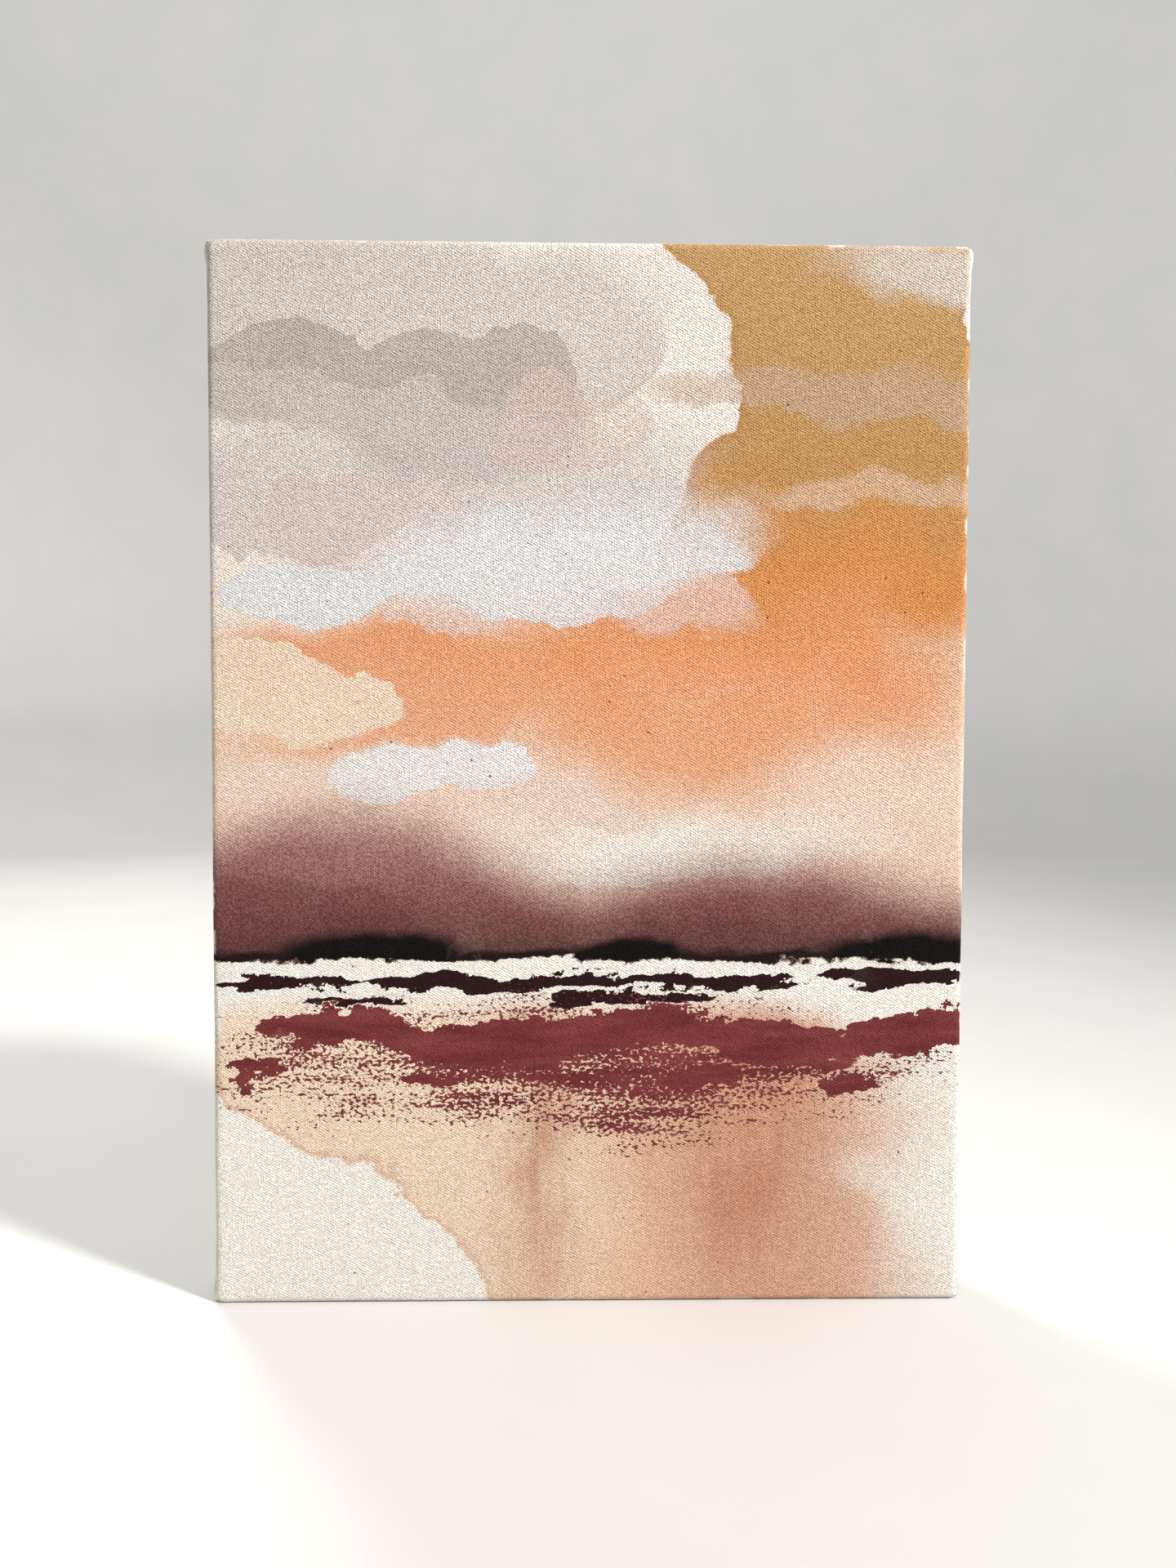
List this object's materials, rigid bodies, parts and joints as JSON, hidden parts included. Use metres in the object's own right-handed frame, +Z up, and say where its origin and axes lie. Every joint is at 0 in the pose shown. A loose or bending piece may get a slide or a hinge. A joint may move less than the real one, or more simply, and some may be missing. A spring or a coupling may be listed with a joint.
{
  "type": "stretched canvas",
  "caption": "Small portrait stretched canvas: painted cotton wrapped round a pine stretcher frame with slotted mitred corners, corner keys and a stapled hem.",
  "frame": {"origin": "middle of the bottom edge, on the surface that the panel stands on", "axes": "+Z up along the height, +X along the width to the viewer's right, -Y out of the painted face"},
  "size_m": [0.25, 0.02, 0.35],
  "materials": {
    "cloth": "matte primed and painted cotton",
    "bar_wood": "planed unvarnished pine",
    "key_wood": "sawn unvarnished beech",
    "staple_steel": "zinc-plated wire"
  },
  "bodies": {
    "panel": {"canvas": "cloth", "top_bar": "bar_wood", "bottom_bar": "bar_wood", "left_bar": "bar_wood", "right_bar": "bar_wood", "top_staples": "staple_steel", "bottom_staples": "staple_steel", "left_staples": "staple_steel", "right_staples": "staple_steel", "corner_staple_top_left": "staple_steel", "corner_staple_top_right": "staple_steel", "corner_staple_bottom_left": "staple_steel", "corner_staple_bottom_right": "staple_steel"},
    "flat_key_top_left": {"flat_key_top_left": "key_wood"},
    "flat_key_top_right": {"flat_key_top_right": "key_wood"},
    "flat_key_bottom_left": {"flat_key_bottom_left": "key_wood"},
    "flat_key_bottom_right": {"flat_key_bottom_right": "key_wood"},
    "upright_key_top_left": {"upright_key_top_left": "key_wood"},
    "upright_key_top_right": {"upright_key_top_right": "key_wood"},
    "upright_key_bottom_left": {"upright_key_bottom_left": "key_wood"},
    "upright_key_bottom_right": {"upright_key_bottom_right": "key_wood"}
  },
  "joints": [
    {"name": "flat_key_top_left_slide", "type": "slide", "parent": "panel", "child": "flat_key_top_left", "axis": [1, 0, 0], "range_m": [0, 0.015]},
    {"name": "flat_key_top_right_slide", "type": "slide", "parent": "panel", "child": "flat_key_top_right", "axis": [-1, 0, 0], "range_m": [0, 0.015]},
    {"name": "flat_key_bottom_left_slide", "type": "slide", "parent": "panel", "child": "flat_key_bottom_left", "axis": [1, 0, 0], "range_m": [0, 0.015]},
    {"name": "flat_key_bottom_right_slide", "type": "slide", "parent": "panel", "child": "flat_key_bottom_right", "axis": [-1, 0, 0], "range_m": [0, 0.015]},
    {"name": "upright_key_top_left_slide", "type": "slide", "parent": "panel", "child": "upright_key_top_left", "axis": [0, 0, -1], "range_m": [0, 0.015]},
    {"name": "upright_key_top_right_slide", "type": "slide", "parent": "panel", "child": "upright_key_top_right", "axis": [0, 0, -1], "range_m": [0, 0.015]},
    {"name": "upright_key_bottom_left_slide", "type": "slide", "parent": "panel", "child": "upright_key_bottom_left", "axis": [0, 0, 1], "range_m": [0, 0.015]},
    {"name": "upright_key_bottom_right_slide", "type": "slide", "parent": "panel", "child": "upright_key_bottom_right", "axis": [0, 0, 1], "range_m": [0, 0.015]}
  ]
}
